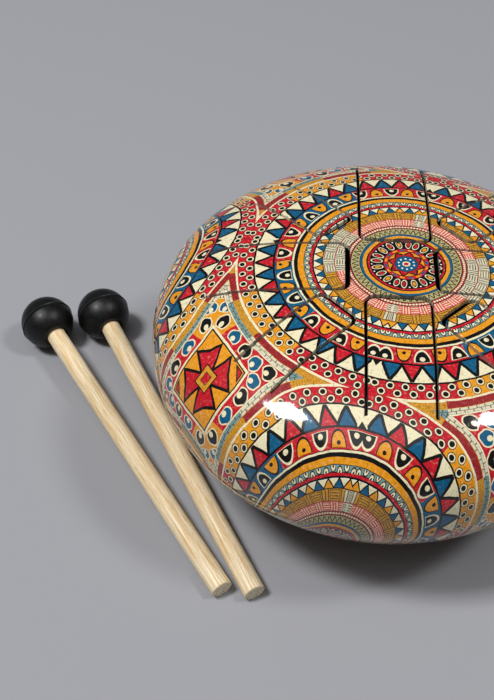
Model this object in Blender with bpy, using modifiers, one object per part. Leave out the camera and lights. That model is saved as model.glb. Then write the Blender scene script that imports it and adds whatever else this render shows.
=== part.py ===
"""Steel tongue drum with its two rubber-headed mallets, at rest on a flat surface.

Two pressed steel shells meet at the widest line of the drum. Eight tongues, cut free on three sides,
radiate from the top of the dome, four wide ones and four narrow ones in turn. Metres, +Z up. The origin
is on the surface, under the middle of the whole set, so the drum's own axis stands at x = DRUM_X.
"""

from math import atan2, cos, pi, radians, sin

import bmesh
import bpy
from mathutils import Matrix, Vector

GAP = 0.0003
STEEL = 0.0015

DRUM_RADIUS = 0.105
DOME_HEIGHT = 0.0465
DOME_EXPONENT = 3.0
BOWL_DEPTH = 0.059
BASE_RADIUS = 0.048
PORT_RADIUS = 0.020
COLLAR_HEIGHT = 0.007
DRUM_STEPS = 64
DOME_ROWS = 12
BOWL_ROWS = 8
FOOT_STEPS = 20
HEAD_STEPS = 24
HEAD_ROWS = 10

FOOT_HEIGHT = 0.010
FOOT_RADIUS = 0.009
FOOT_CIRCLE = 0.036
STEM_RADIUS = 0.003
FOOT_COUNT = 4

SIDE_SLOT = 0.0015
TIP_SLOT = 0.0022
CORNER_RADIUS = 0.005
LAYOUT_TURN = radians(3.6)
# The middle of the layout lies a little off the drum's axis.
LAYOUT_MIDDLE = (0.0034, -0.0013)
# name, compass bearing in degrees, pitch between its two side slots, tip and root distances from the middle
TONGUES = (
    ("tongue_north", 0, 0.0318, 0.0180, 0.0850),
    ("tongue_northeast", 45, 0.0212, 0.0368, 0.0830),
    ("tongue_east", 90, 0.0285, 0.0172, 0.0800),
    ("tongue_southeast", 135, 0.0212, 0.0340, 0.0830),
    ("tongue_south", 180, 0.0278, 0.0186, 0.0780),
    ("tongue_southwest", 225, 0.0218, 0.0350, 0.0838),
    ("tongue_west", 270, 0.0300, 0.0213, 0.0830),
    ("tongue_northwest", 315, 0.0212, 0.0370, 0.0830),
)

HANDLE_RADIUS = 0.005
HANDLE_LENGTH = 0.1855
HEAD_RADIUS = 0.0142
SOCKET_DEPTH = 0.014
# name, butt of the handle relative to the drum's axis, compass bearing of the head in degrees
MALLETS = (
    ("mallet_1", (-0.0725, -0.0976), -31.4),
    ("mallet_2", (-0.0581, -0.0994), -26.1),
)

BOWL_FLOOR = BOWL_DEPTH * (1 - (BASE_RADIUS / DRUM_RADIUS) ** 2) ** 0.5
EQUATOR = FOOT_HEIGHT + BOWL_FLOOR


def along(bearing, distance=1.0):
    """A horizontal vector at a compass bearing, with north at +Y and east at +X."""
    return Vector((sin(bearing), cos(bearing), 0)) * distance


def leftmost_mallet_point():
    """How far the first mallet's head reaches towards -X from the drum's axis."""
    name, butt, bearing = MALLETS[0]
    return butt[0] + along(radians(bearing), HANDLE_LENGTH).x - HEAD_RADIUS


DRUM_X = -(DRUM_RADIUS + leftmost_mallet_point()) / 2
DRUM_PLACE = Vector((DRUM_X, 0, 0))
LAYOUT_PLACE = DRUM_PLACE + Vector((*LAYOUT_MIDDLE, 0))


def clear_scene():
    for obj in list(bpy.data.objects):
        bpy.data.objects.remove(obj)


def new_collection(name):
    collection = bpy.data.collections.new(name)
    bpy.context.scene.collection.children.link(collection)
    return collection


def material(name, colour, roughness, metallic=0.0):
    made = bpy.data.materials.new(name)
    made.use_nodes = True
    shader = made.node_tree.nodes["Principled BSDF"]
    shader.inputs["Base Color"].default_value = (*colour, 1)
    shader.inputs["Roughness"].default_value = roughness
    shader.inputs["Metallic"].default_value = metallic
    return made


def add_object(name, mesh, collection, finish=None, place=DRUM_PLACE):
    obj = bpy.data.objects.new(name, mesh)
    collection.objects.link(obj)
    obj.location = place
    if finish:
        mesh.materials.append(finish)
    return obj


def profile_mesh(name, points):
    """A line of edges through (radius, height) points, ready for a Screw modifier."""
    mesh = bpy.data.meshes.new(name)
    edges = [(i, i + 1) for i in range(len(points) - 1)]
    mesh.from_pydata([(r, 0, z) for r, z in points], edges, [])
    return mesh


def add_screw(obj, steps):
    screw = obj.modifiers.new("turn", "SCREW")
    screw.axis = "Z"
    screw.angle = 2 * pi
    screw.steps = steps
    screw.render_steps = steps
    screw.use_merge_vertices = True
    screw.merge_threshold = 0.00001
    screw.use_smooth_shade = True


def add_wall(obj):
    wall = obj.modifiers.new("steel", "SOLIDIFY")
    wall.thickness = STEEL
    wall.offset = -1
    wall.use_even_offset = True


def dome_point(angle):
    """A point of the dome's outer profile: angle 0 is the widest line, a quarter turn is the top."""
    power = 2 / DOME_EXPONENT
    return DRUM_RADIUS * cos(angle) ** power, EQUATOR + DOME_HEIGHT * sin(angle) ** power


def dome_profile():
    quarter = [pi / 2 * i / DOME_ROWS for i in range(DOME_ROWS)]
    return [(0, EQUATOR + DOME_HEIGHT)] + [dome_point(angle) for angle in reversed(quarter)]


def dome_height(radius):
    share = (radius / DRUM_RADIUS) ** DOME_EXPONENT
    return EQUATOR + DOME_HEIGHT * (1 - share) ** (1 / DOME_EXPONENT)


def bowl_profile():
    """Down the collar that sits inside the dome, out along the ledge, round the bowl and in to the port."""
    collar = DRUM_RADIUS - STEEL - 2 * GAP
    last = atan2((1 - (BASE_RADIUS / DRUM_RADIUS) ** 2) ** 0.5, BASE_RADIUS / DRUM_RADIUS)
    points = [(collar, EQUATOR + COLLAR_HEIGHT), (collar, EQUATOR - GAP), (DRUM_RADIUS, EQUATOR - GAP)]
    for row in range(1, BOWL_ROWS + 1):
        angle = last * row / BOWL_ROWS
        points.append((DRUM_RADIUS * cos(angle), EQUATOR - BOWL_DEPTH * sin(angle)))
    points.append((PORT_RADIUS, FOOT_HEIGHT))
    return points


def tongue_outline(pitch, tip, root, side_gap, tip_gap, root_gap, corner):
    """A tongue's plan in its own frame: y runs out from the axis, x across. The tip's corners are arcs."""
    half = pitch / 2 + side_gap
    low = tip - tip_gap
    high = root + root_gap
    points = [(-half, high), (half, high)]
    for side, start in ((1, 0), (-1, pi / 2)):
        for step in range(5):
            angle = start + pi / 8 * step
            centre = (side * (half - corner), low + corner)
            turn = -angle
            points.append((centre[0] + corner * cos(turn), centre[1] + corner * sin(turn)))
    return points


def prism(name, outline, turn, collection):
    """A closed upright prism over a plan outline, long enough to pass through the dome."""
    curve = bpy.data.curves.new(name, "CURVE")
    curve.dimensions = "2D"
    curve.fill_mode = "BOTH"
    curve.extrude = DOME_HEIGHT
    spline = curve.splines.new("POLY")
    spline.points.add(len(outline) - 1)
    for point, (x, y) in zip(spline.points, outline):
        point.co = (x, y, 0, 1)
    spline.use_cyclic_u = True
    guide = bpy.data.objects.new(name + "_guide", curve)
    collection.objects.link(guide)
    mesh = bpy.data.meshes.new_from_object(guide.evaluated_get(bpy.context.evaluated_depsgraph_get()))
    bpy.data.objects.remove(guide)
    weld(mesh)
    mesh.transform(Matrix.Translation((0, 0, EQUATOR + DOME_HEIGHT)) @ Matrix.Rotation(-turn, 4, "Z"))
    cutter = add_object(name, mesh, collection, None, LAYOUT_PLACE)
    hide(cutter)
    return cutter


def weld(mesh):
    body = bmesh.new()
    body.from_mesh(mesh)
    bmesh.ops.remove_doubles(body, verts=body.verts, dist=0.00001)
    bmesh.ops.recalc_face_normals(body, faces=body.faces)
    body.to_mesh(mesh)
    body.free()


def hide(obj):
    obj.hide_render = True
    obj.display_type = "WIRE"


def add_boolean(obj, operation, cutter):
    cut = obj.modifiers.new(cutter.name, "BOOLEAN")
    cut.operation = operation
    cut.solver = "EXACT"
    cut.object = cutter


def add_dome(name, parts, finish):
    obj = add_object(name, profile_mesh(name, dome_profile()), parts, finish)
    add_screw(obj, DRUM_STEPS)
    add_wall(obj)
    return obj


def add_top(parts, cutters, finish):
    """The dome, less a window for each tongue."""
    top = add_dome("top_shell", parts, finish)
    for name, bearing, pitch, tip, root in TONGUES:
        outline = tongue_outline(pitch, tip, root, SIDE_SLOT / 2, TIP_SLOT / 2, 0, CORNER_RADIUS)
        turn = radians(bearing) + LAYOUT_TURN
        add_boolean(top, "DIFFERENCE", prism(name + "_window", outline, turn, cutters))


def add_tongue(name, bearing, pitch, tip, root, parts, cutters, finish):
    """A piece of the dome inside the tongue's plan, hung from an empty on its bending line."""
    inner_corner = CORNER_RADIUS - SIDE_SLOT
    outline = tongue_outline(pitch, tip, root, -SIDE_SLOT / 2, -TIP_SLOT / 2, -GAP, inner_corner)
    turn = radians(bearing) + LAYOUT_TURN
    tongue = add_dome(name, parts, finish)
    add_boolean(tongue, "INTERSECT", prism(name + "_plan", outline, turn, cutters))
    hinge = bpy.data.objects.new(name + "_bend_line", None)
    parts.objects.link(hinge)
    line = LAYOUT_PLACE + along(turn, root)
    hinge.location = line + Vector((0, 0, dome_height((line - DRUM_PLACE).length) - STEEL / 2))
    hinge.rotation_euler.z = -turn
    bpy.context.view_layer.update()
    tongue.parent = hinge
    tongue.matrix_parent_inverse = hinge.matrix_world.inverted()


def add_bottom(parts, cutters, finish):
    """The bowl with its central port, drilled for the feet."""
    bottom = add_object("bottom_shell", profile_mesh("bottom_shell", bowl_profile()), parts, finish)
    add_screw(bottom, DRUM_STEPS)
    add_wall(bottom)
    for number, place in enumerate(foot_places(), 1):
        bpy.ops.mesh.primitive_cylinder_add(vertices=24, radius=STEM_RADIUS + GAP, depth=4 * STEEL)
        drill = bpy.context.object
        drill.name = f"foot_hole_{number}"
        drill.location = place + Vector((0, 0, FOOT_HEIGHT))
        drill.users_collection[0].objects.unlink(drill)
        cutters.objects.link(drill)
        hide(drill)
        add_boolean(bottom, "DIFFERENCE", drill)


def foot_places():
    turns = [2 * pi * (i + 0.5) / FOOT_COUNT for i in range(FOOT_COUNT)]
    return [DRUM_PLACE + along(turn, FOOT_CIRCLE) for turn in turns]


def add_feet(parts, finish):
    """Push-in rubber feet: a tapered pad, a stem through the steel and a barb that holds it inside."""
    under = FOOT_HEIGHT - GAP
    over = FOOT_HEIGHT + STEEL + GAP
    barb = STEM_RADIUS + 0.0015
    points = [
        (0, over + 0.0050),
        (STEM_RADIUS - 0.001, over + 0.0048),
        (barb, over + 0.0008),
        (barb, over),
        (STEM_RADIUS, over),
        (STEM_RADIUS, under),
        (FOOT_RADIUS - 0.0005, under),
        (FOOT_RADIUS, under - 0.0010),
        (FOOT_RADIUS - 0.0010, 0.0008),
        (FOOT_RADIUS - 0.0020, 0),
        (0, 0),
    ]
    for number, place in enumerate(foot_places(), 1):
        name = f"rubber_foot_{number}"
        foot = add_object(name, profile_mesh(name, points), parts, finish, place)
        add_screw(foot, FOOT_STEPS)


def mallet_frame(name, butt, bearing, parts):
    """An empty at the butt of the handle, with its +Z along the handle towards the head."""
    frame = bpy.data.objects.new(name + "_axis", None)
    parts.objects.link(frame)
    start = DRUM_PLACE + Vector((*butt, HANDLE_RADIUS))
    run = along(radians(bearing), HANDLE_LENGTH) + Vector((0, 0, HEAD_RADIUS - HANDLE_RADIUS))
    frame.location = start
    frame.rotation_mode = "QUATERNION"
    frame.rotation_quaternion = run.to_track_quat("Z", "Y")
    return frame


def add_handle(name, frame, parts, finish):
    depth = HANDLE_LENGTH - HEAD_RADIUS + SOCKET_DEPTH - GAP
    bpy.ops.mesh.primitive_cylinder_add(vertices=24, radius=HANDLE_RADIUS, depth=depth)
    handle = bpy.context.object
    handle.name = name
    handle.users_collection[0].objects.unlink(handle)
    parts.objects.link(handle)
    handle.data.transform(Matrix.Translation((0, 0, depth / 2)))
    handle.data.materials.append(finish)
    handle.parent = frame
    edge = handle.modifiers.new("rounded_ends", "BEVEL")
    edge.width = 0.0004
    edge.segments = 1
    handle.data.shade_smooth()


def head_profile():
    """A ball round the end of the handle, with a blind socket for it."""
    bore = HANDLE_RADIUS + GAP
    mouth = atan2(bore, (HEAD_RADIUS**2 - bore**2) ** 0.5)
    points = []
    for step in range(HEAD_ROWS + 1):
        angle = (pi - mouth) * step / HEAD_ROWS
        points.append((HEAD_RADIUS * sin(angle), HANDLE_LENGTH + HEAD_RADIUS * cos(angle)))
    floor = HANDLE_LENGTH - HEAD_RADIUS + SOCKET_DEPTH
    return points + [(bore, floor), (0, floor)]


def add_head(name, frame, parts, finish):
    head = add_object(name, profile_mesh(name, head_profile()), parts, finish, (0, 0, 0))
    add_screw(head, HEAD_STEPS)
    head.parent = frame


def build():
    clear_scene()
    parts = new_collection("steel_tongue_drum")
    cutters = new_collection("cutters")
    printed = material("printed_steel", (0.55, 0.16, 0.06), 0.25)
    black = material("black_rubber", (0.02, 0.02, 0.022), 0.6)
    bamboo = material("bamboo", (0.72, 0.52, 0.28), 0.5)
    add_top(parts, cutters, printed)
    for tongue in TONGUES:
        add_tongue(*tongue, parts, cutters, printed)
    add_bottom(parts, cutters, printed)
    add_feet(parts, black)
    for name, butt, bearing in MALLETS:
        frame = mallet_frame(name, butt, bearing, parts)
        add_handle(name + "_handle", frame, parts, bamboo)
        add_head(name + "_head", frame, parts, black)


build()
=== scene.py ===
"""Looks of the steel tongue drum and its two mallets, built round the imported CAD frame.

The steel pieces are meshed on a flat map of the drum: a point's distance from the map's middle is the
distance walked over the steel from the top of the dome, and its direction is its bearing. The print is
laid out on the same map, so one material runs on from the shell across its tongues and down the bowl.
Lengths of meshes are metres, lengths of the map and of the print are millimetres.
"""

from math import atan2, cos, pi, radians, sin, sqrt

import bpy
import numpy as np
from mathutils import Matrix, Vector
from mathutils.geometry import delaunay_2d_cdt


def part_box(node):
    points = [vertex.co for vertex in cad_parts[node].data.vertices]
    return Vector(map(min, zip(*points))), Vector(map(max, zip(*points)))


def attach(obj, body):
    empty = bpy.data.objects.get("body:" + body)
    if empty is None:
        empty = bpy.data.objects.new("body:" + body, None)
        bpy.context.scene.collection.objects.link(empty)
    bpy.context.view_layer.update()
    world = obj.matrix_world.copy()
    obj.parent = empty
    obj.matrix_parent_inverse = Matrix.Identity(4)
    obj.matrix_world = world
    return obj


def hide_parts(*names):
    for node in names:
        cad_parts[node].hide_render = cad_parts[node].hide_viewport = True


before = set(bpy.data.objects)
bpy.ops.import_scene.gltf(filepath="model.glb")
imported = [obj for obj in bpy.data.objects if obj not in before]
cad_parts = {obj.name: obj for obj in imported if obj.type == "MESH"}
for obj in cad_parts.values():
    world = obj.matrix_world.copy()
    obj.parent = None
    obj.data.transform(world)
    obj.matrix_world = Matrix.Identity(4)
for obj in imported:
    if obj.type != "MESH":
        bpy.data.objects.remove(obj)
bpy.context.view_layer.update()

MM = 0.001
STEEL = 0.0015
CUT_STEEL = 0.0024
GAP = 0.0003

# The place and size of the shells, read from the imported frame.
SHELL_LOW, SHELL_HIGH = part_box("top_shell")
AXIS_X = (SHELL_LOW.x + SHELL_HIGH.x) / 2
RADIUS = (SHELL_HIGH.x - SHELL_LOW.x) / 2
EQUATOR = SHELL_LOW.z
DOME_HEIGHT = SHELL_HIGH.z - EQUATOR
FOOT_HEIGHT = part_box("bottom_shell")[0].z
# The rest of their shape. The dome is a superellipse and the bowl an ellipse cut off by the base.
DOME_EXPONENT = 3.0
BASE_RADIUS = 0.048
BOWL_DEPTH = (EQUATOR - FOOT_HEIGHT) / sqrt(1 - (BASE_RADIUS / RADIUS) ** 2)
PORT_RADIUS = 0.020
COLLAR_HEIGHT = 0.007
COLLAR_EDGE = 0.0004
ROUND_STEPS = 240
PORT_STEPS = 96
DRILL_STEPS = 32
PLATE_EDGE = 0.042
LIP = 0.00045
SEAM = 0.00006
SPACING = 2.1 * MM
ROW_SHARE = 0.866
# The dome is meshed as one flat patch out to this distance from the axis, and in rings past it.
PATCH_RADIUS = 0.0905

LAYOUT_TURN = radians(3.6)
# The middle of the layout of slots lies a little off the drum's axis.
LAYOUT_MIDDLE = (0.0034, -0.0013)
# name, compass bearing in degrees, pitch between its two side slots, tip and root distances from the middle
TONGUES = (
    ("tongue_north", 0, 0.0318, 0.0180, 0.0850),
    ("tongue_northeast", 45, 0.0212, 0.0368, 0.0830),
    ("tongue_east", 90, 0.0285, 0.0172, 0.0800),
    ("tongue_southeast", 135, 0.0212, 0.0340, 0.0830),
    ("tongue_south", 180, 0.0278, 0.0186, 0.0780),
    ("tongue_southwest", 225, 0.0218, 0.0350, 0.0838),
    ("tongue_west", 270, 0.0300, 0.0213, 0.0830),
    ("tongue_northwest", 315, 0.0212, 0.0370, 0.0830),
)
SIDE_SLOT = 0.0012
TIP_SLOT = 0.0021
WINDOW_CORNER = 0.005
TONGUE_CORNER = 0.0035
CORNER_STEPS = 8
EDGE_STEP = 0.0014

FOOT_COUNT = 4
FOOT_CIRCLE = 0.036
FOOT_RADIUS = 0.009
STEM_RADIUS = 0.003

HANDLE_RADIUS = 0.005
HANDLE_LENGTH = 0.1855
HEAD_RADIUS = 0.0142
SOCKET_DEPTH = 0.014
# name, butt of the handle relative to the drum's axis, compass bearing of the head in degrees
MALLETS = (
    ("mallet_1", (-0.0725, -0.0976), -31.4),
    ("mallet_2", (-0.0581, -0.0994), -26.1),
)

# How the sheet of print lies on the map, in millimetres: a nearly square lattice of mandalas.
PRINT_PITCH = (145.2, 146.6)
PRINT_MIDDLE = (8.2, 1.2)
PRINT_TURN = radians(2.4)
SWIRL_TURN = radians(-19.7)
SWIRL_REACH = (79.0, 153.0)
# Past this distance over the steel the film was stretched downwards and dragged round, per millimetre.
DRIFT_START = 87.0
DRIFT_EASE = 12.0
DRIFT_STRETCH = 0.145
DRIFT_TURN = radians(0.40)
BORDER_ARC = 166.0


# ---------------------------------------------------------------- shape of the steel


def outer_profile():
    """(arc, radius, height) along the outer surface from the top of the dome to the flat of the base."""
    turn = np.linspace(pi / 2, 0, 4000)
    power = 2 / DOME_EXPONENT
    dome = np.stack([RADIUS * np.cos(turn) ** power, EQUATOR + DOME_HEIGHT * np.sin(turn) ** power])
    last = atan2(sqrt(1 - (BASE_RADIUS / RADIUS) ** 2), BASE_RADIUS / RADIUS)
    turn = np.linspace(0, last * 0.93, 2000)[1:]
    bowl = np.stack([RADIUS * np.cos(turn), EQUATOR - BOWL_DEPTH * np.sin(turn)])
    share = np.linspace(0, 1, 200)[1:]
    corner, end = (BASE_RADIUS, FOOT_HEIGHT), (PLATE_EDGE, FOOT_HEIGHT)
    bend = np.outer(bowl[:, -1], (1 - share) ** 2) + np.outer(corner, 2 * share * (1 - share))
    bend += np.outer(end, share**2)
    line = np.concatenate([dome, bowl, bend], axis=1)
    line[0, 0] = 0
    arc = np.concatenate([[0], np.cumsum(np.hypot(*np.diff(line, axis=1)))])
    return arc, line[0], line[1]


ARC, ARC_RADIUS, ARC_HEIGHT = outer_profile()
EQUATOR_ARC = float(np.interp(EQUATOR, ARC_HEIGHT[::-1], ARC[::-1]))
SLOPE = np.unwrap(np.arctan2(np.gradient(ARC_HEIGHT, ARC), np.gradient(ARC_RADIUS, ARC)))


def arc_at(radius):
    """Distance over the dome from its top, in metres, for a distance from the axis."""
    dome = ARC <= EQUATOR_ARC
    return np.interp(radius, ARC_RADIUS[dome], ARC[dome])


def on_steel(flat, depth=0.0):
    """Points and outward normals for places on the map, at a depth under the outer surface."""
    flat = np.asarray(flat, float)
    arc = np.hypot(flat[:, 0], flat[:, 1])
    safe = np.maximum(arc, 1e-9)
    east, north = flat[:, 0] / safe, flat[:, 1] / safe
    radius, height = np.interp(arc, ARC, ARC_RADIUS), np.interp(arc, ARC, ARC_HEIGHT)
    slope = np.interp(arc, ARC, SLOPE)
    out, up = -np.sin(slope), np.cos(slope)
    normal = np.stack([east * out, north * out, up], axis=1)
    place = np.stack([AXIS_X + radius * east, radius * north, height], axis=1)
    return place - normal * depth, normal


def plan_to_map(plan):
    """Moves points of the plan out to where they lie on the map."""
    plan = np.asarray(plan, float)
    radius = np.maximum(np.hypot(plan[:, 0], plan[:, 1]), 1e-9)
    return plan * (arc_at(radius) / radius)[:, None]


def print_place(flat):
    """Where a place on the map lies on the sheet of print, in millimetres from a mandala's middle."""
    x, y = flat[:, 0] / MM, flat[:, 1] / MM
    arc = np.maximum(np.hypot(x, y), 1e-6)
    past = np.maximum(arc - DRIFT_START, 0)
    past = past * past / (past + DRIFT_EASE)
    x, y = spun(x, y, DRIFT_TURN * past)
    scale = 1 - DRIFT_STRETCH * past / arc
    x, y = x * scale - PRINT_MIDDLE[0], y * scale - PRINT_MIDDLE[1]
    near, far = SWIRL_REACH
    share = np.clip((np.hypot(x, y) - near) / (far - near), 0, 1)
    turn = PRINT_TURN + SWIRL_TURN * (1 - share * share * (3 - 2 * share))
    return np.stack(spun(x, y, -turn), axis=1)


def spun(x, y, turn):
    """Coordinates turned anticlockwise about the origin."""
    return x * np.cos(turn) - y * np.sin(turn), x * np.sin(turn) + y * np.cos(turn)


# ---------------------------------------------------------------- mesh helpers


class Mesh:
    """Points, normals and map places gathered piece by piece, then made into one Blender mesh."""

    def __init__(self):
        self.points, self.normals, self.flat, self.faces, self.slots = [], [], [], [], []

    def add(self, points, normals, flat=None):
        first = len(self.points)
        self.points.extend(map(tuple, points))
        self.normals.extend(map(tuple, normals))
        self.flat.extend(map(tuple, flat if flat is not None else np.zeros((len(points), 2))))
        return np.arange(first, first + len(points))

    def face(self, corners, slot):
        self.faces.append(tuple(int(i) for i in corners))
        self.slots.append(slot)

    def strip(self, one, two, slot, closed=True):
        """Quads between two rows of equal length. Seen from outside, row two is to the left of row one."""
        count = len(one)
        for i in range(count if closed else count - 1):
            j = (i + 1) % count
            self.face((one[i], one[j], two[j], two[i]), slot)

    def build(self, name, materials):
        mesh = bpy.data.meshes.new(name)
        mesh.from_pydata(self.points, [], self.faces)
        mesh.polygons.foreach_set("material_index", self.slots)
        flat = np.array(self.flat, float)
        store_vector(mesh, "print_place", print_place(flat))
        store_vector(mesh, "map_place", flat / MM)
        mesh.shade_smooth()
        mesh.normals_split_custom_set_from_vertices(self.normals)
        for material in materials:
            mesh.materials.append(material)
        return linked(name, mesh)


def linked(name, data):
    """A new object with the given data, in the scene."""
    made = bpy.data.objects.new(name, data)
    bpy.context.scene.collection.objects.link(made)
    return made


def store_vector(mesh, name, pairs):
    attribute = mesh.attributes.new(name, "FLOAT_VECTOR", "POINT")
    values = np.zeros((len(mesh.vertices), 3), np.float32)
    values[:, : pairs.shape[1]] = pairs
    attribute.data.foreach_set("vector", values.ravel())


def hex_grid(reach, pitch):
    """Points of a triangular grid within reach of the origin."""
    rows = int(reach / pitch / ROW_SHARE) + 2
    points = []
    for row in range(-rows, rows + 1):
        shift = pitch / 2 if row % 2 else 0.0
        for column in range(-rows, rows + 1):
            points.append((column * pitch + shift, row * pitch * ROW_SHARE))
    points = np.array(points)
    return points[np.hypot(points[:, 0], points[:, 1]) < reach]


def inside(points, loop):
    """Which points lie inside a closed outline."""
    found = np.zeros(len(points), bool)
    x, y = points[:, 0], points[:, 1]
    for (x1, y1), (x2, y2) in zip(loop, np.roll(loop, -1, axis=0)):
        if y1 == y2:
            continue
        crosses = (y1 > y) != (y2 > y)
        found ^= crosses & (x < (x2 - x1) * (y - y1) / (y2 - y1) + x1)
    return found


def well_inside(points, loop, room):
    """The points that lie inside a closed outline and clear of it."""
    points = points[inside(points, loop)]
    return points[clear_of(points, loop, room)]


def well_outside(points, loop, room):
    points = points[~inside(points, loop)]
    return points[clear_of(points, loop, room)]


def clear_of(points, loop, room):
    """Which points lie further than room from a closed outline."""
    start = np.asarray(loop, float)
    run = np.roll(start, -1, axis=0) - start
    kept = []
    for point in points:
        share = np.clip(((point - start) * run).sum(1) / np.maximum((run * run).sum(1), 1e-18), 0, 1)
        nearest = start + run * share[:, None]
        kept.append(np.hypot(*(nearest - point).T).min() > room)
    return np.array(kept)


def triangulate(edge, holes, fill):
    """The region inside edge and outside the holes, as points, triangles and each loop's indices."""
    loops = [edge, *holes]
    points = np.concatenate([*loops, fill])
    joins, first = [], 0
    for loop in loops:
        joins += [(first + i, first + (i + 1) % len(loop)) for i in range(len(loop))]
        first += len(loop)
    scaled = [Vector(point) for point in points / MM]
    made, _, faces, origins, _, _ = delaunay_2d_cdt(scaled, joins, [], 0, 1e-6, True)
    out = np.array([tuple(v) for v in made]) * MM
    now = {old: new for new, olds in enumerate(origins) for old in olds}
    faces = np.array(faces)
    middles = out[faces].mean(axis=1)
    keep = inside(middles, edge)
    for hole in holes:
        keep &= ~inside(middles, hole)
    indices, first = [], 0
    for loop in loops:
        indices.append([now[first + i] for i in range(len(loop))])
        first += len(loop)
    return out, faces[keep], indices


def facing_up(points, faces):
    """The faces, each turned so that it runs anticlockwise in the plane."""
    a, b, c = (points[faces[:, i]] for i in range(3))
    area = (b[:, 0] - a[:, 0]) * (c[:, 1] - a[:, 1]) - (b[:, 1] - a[:, 1]) * (c[:, 0] - a[:, 0])
    return np.where(area[:, None] < 0, faces[:, ::-1], faces)


# ---------------------------------------------------------------- tongues and the top shell


def tongue_outline(pitch, tip, root, side_gap, tip_gap, corner, root_half):
    """A plan outline, anticlockwise from the root, with how much of a lip each point has.

    The frame is the tongue's own: y runs out from the axis and x across. The stretch of the root line
    within root_half has no lip, because there the steel of the shell runs on into the tongue.
    """
    half = pitch / 2 + side_gap
    low = tip - tip_gap
    across = np.linspace(root_half, -root_half, 2 * int(root_half / EDGE_STEP) + 1)
    points = [((x, root), 0.0) for x in across]
    if half - root_half > 1e-9:
        points = [((half, root), 1.0)] + points + [((-half, root), 1.0)]
    points += [((-half, y), 1.0) for y in side_steps(root, low + corner)]
    for side, start in ((-1, pi), (1, 3 * pi / 2)):
        for step in range(CORNER_STEPS + 1):
            angle = start + pi / 2 * step / CORNER_STEPS
            middle = (side * (half - corner), low + corner)
            points.append(((middle[0] + corner * cos(angle), middle[1] + corner * sin(angle)), 1.0))
        if side < 0:
            inner = np.linspace(-(half - corner), half - corner, 8)[1:-1]
            points += [((x, low), 1.0) for x in inner]
    points += [((half, y), 1.0) for y in side_steps(low + corner, root)]
    return np.array([p for p, _ in points]), np.array([lip for _, lip in points])


def side_steps(start, end):
    count = int(abs(end - start) / EDGE_STEP)
    return np.linspace(start, end, count + 1)[1:-1]


def turned(plan, bearing):
    """Turns a plan from the tongue's own frame to a compass bearing, clockwise from +Y."""
    c, s = cos(bearing), sin(bearing)
    x, y = plan[:, 0], plan[:, 1]
    return np.stack([x * c + y * s, y * c - x * s], axis=1)


def laid_out(plan, bearing):
    """A tongue's plan turned to its bearing and moved to where it lies from the drum's axis."""
    return turned(plan, bearing) + LAYOUT_MIDDLE


def shifted(plan, lips, distance):
    """Moves each point sideways by its share of distance, to the right of an anticlockwise outline."""
    before, after = plan - np.roll(plan, 1, axis=0), np.roll(plan, -1, axis=0) - plan
    before /= np.hypot(*before.T)[:, None]
    after /= np.hypot(*after.T)[:, None]
    sideways = np.stack([before[:, 1] + after[:, 1], -before[:, 0] - after[:, 0]], axis=1)
    length = np.hypot(*sideways.T)
    sideways /= (length * length / 2)[:, None]
    return plan + sideways * (lips * distance)[:, None], sideways


# The rows down a cut edge: how far round the lip each is, in degrees, and 1 at the foot of the wall.
LIP_ROWS = ((0, 0), (30, 0), (60, 0), (90, 0), (90, 1))


def add_rim(mesh, top, under, exact, away, lips, bearing, outward):
    """The steel's cut edge: a rounded lip and the wall under it.

    top and under are the rows already in the mesh. exact is the cut's own line in the tongue's frame, and
    away the sideways unit at each point. outward is +1 where the steel is inside the outline and -1
    where it is outside.
    """
    rows = [top]
    for number, (angle, foot) in enumerate(LIP_ROWS[1:], 1):
        inset = LIP * lips * (1 - sin(radians(angle)))
        plan = exact - away * (inset * outward)[:, None]
        flat = plan_to_map(laid_out(plan, bearing))
        lipped = LIP * (1 - cos(radians(angle))) if not foot else CUT_STEEL - LIP
        plain = CUT_STEEL * number / len(LIP_ROWS)
        depth = np.where(lips > 0, lipped, plain)
        place, normal = on_steel(flat)
        place = place - normal * depth[:, None]
        sideways = turned(away * outward, bearing)
        level = np.stack([sideways[:, 0], sideways[:, 1], np.zeros(len(plan))], axis=1)
        tilt = sin(radians(angle)) * np.where(lips > 0, 1, 0) + np.where(lips > 0, 0, 1)
        blend = normal * (1 - tilt)[:, None] + level * tilt[:, None]
        blend /= np.linalg.norm(blend, axis=1)[:, None]
        rows.append(mesh.add(place, blend, flat))
    rows.append(under)
    for number, (one, two) in enumerate(zip(rows, rows[1:])):
        slot = 0 if number < 2 else 2
        if outward > 0:
            mesh.strip(two, one, slot)
        else:
            mesh.strip(one, two, slot)


def steel_patch(mesh, edge, holes, fill):
    """Both faces of a stretch of the dome. Returns the rows of indices of each loop, above and below."""
    flat, faces, loops = triangulate(edge, holes, fill)
    faces = facing_up(flat, faces)
    place, normal = on_steel(flat)
    above = mesh.add(place, normal, flat)
    place, normal = on_steel(flat, CUT_STEEL)
    below = mesh.add(place, -normal, flat)
    for face in faces:
        mesh.face(above[face], 0)
        mesh.face(below[face[::-1]], 1)
    return [(above[loop], below[loop]) for loop in loops]


def window_cut(bearing, pitch, tip, root):
    """A window's turn, its exact outline, its lips, its sideways units and its outline on the map."""
    turn = radians(bearing) + LAYOUT_TURN
    root_half = (pitch - SIDE_SLOT) / 2
    exact, lips = tongue_outline(pitch, tip, root, SIDE_SLOT / 2, TIP_SLOT / 2, WINDOW_CORNER, root_half)
    wide, away = shifted(exact, lips, LIP)
    return turn, exact, lips, away, plan_to_map(laid_out(wide, turn))


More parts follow.
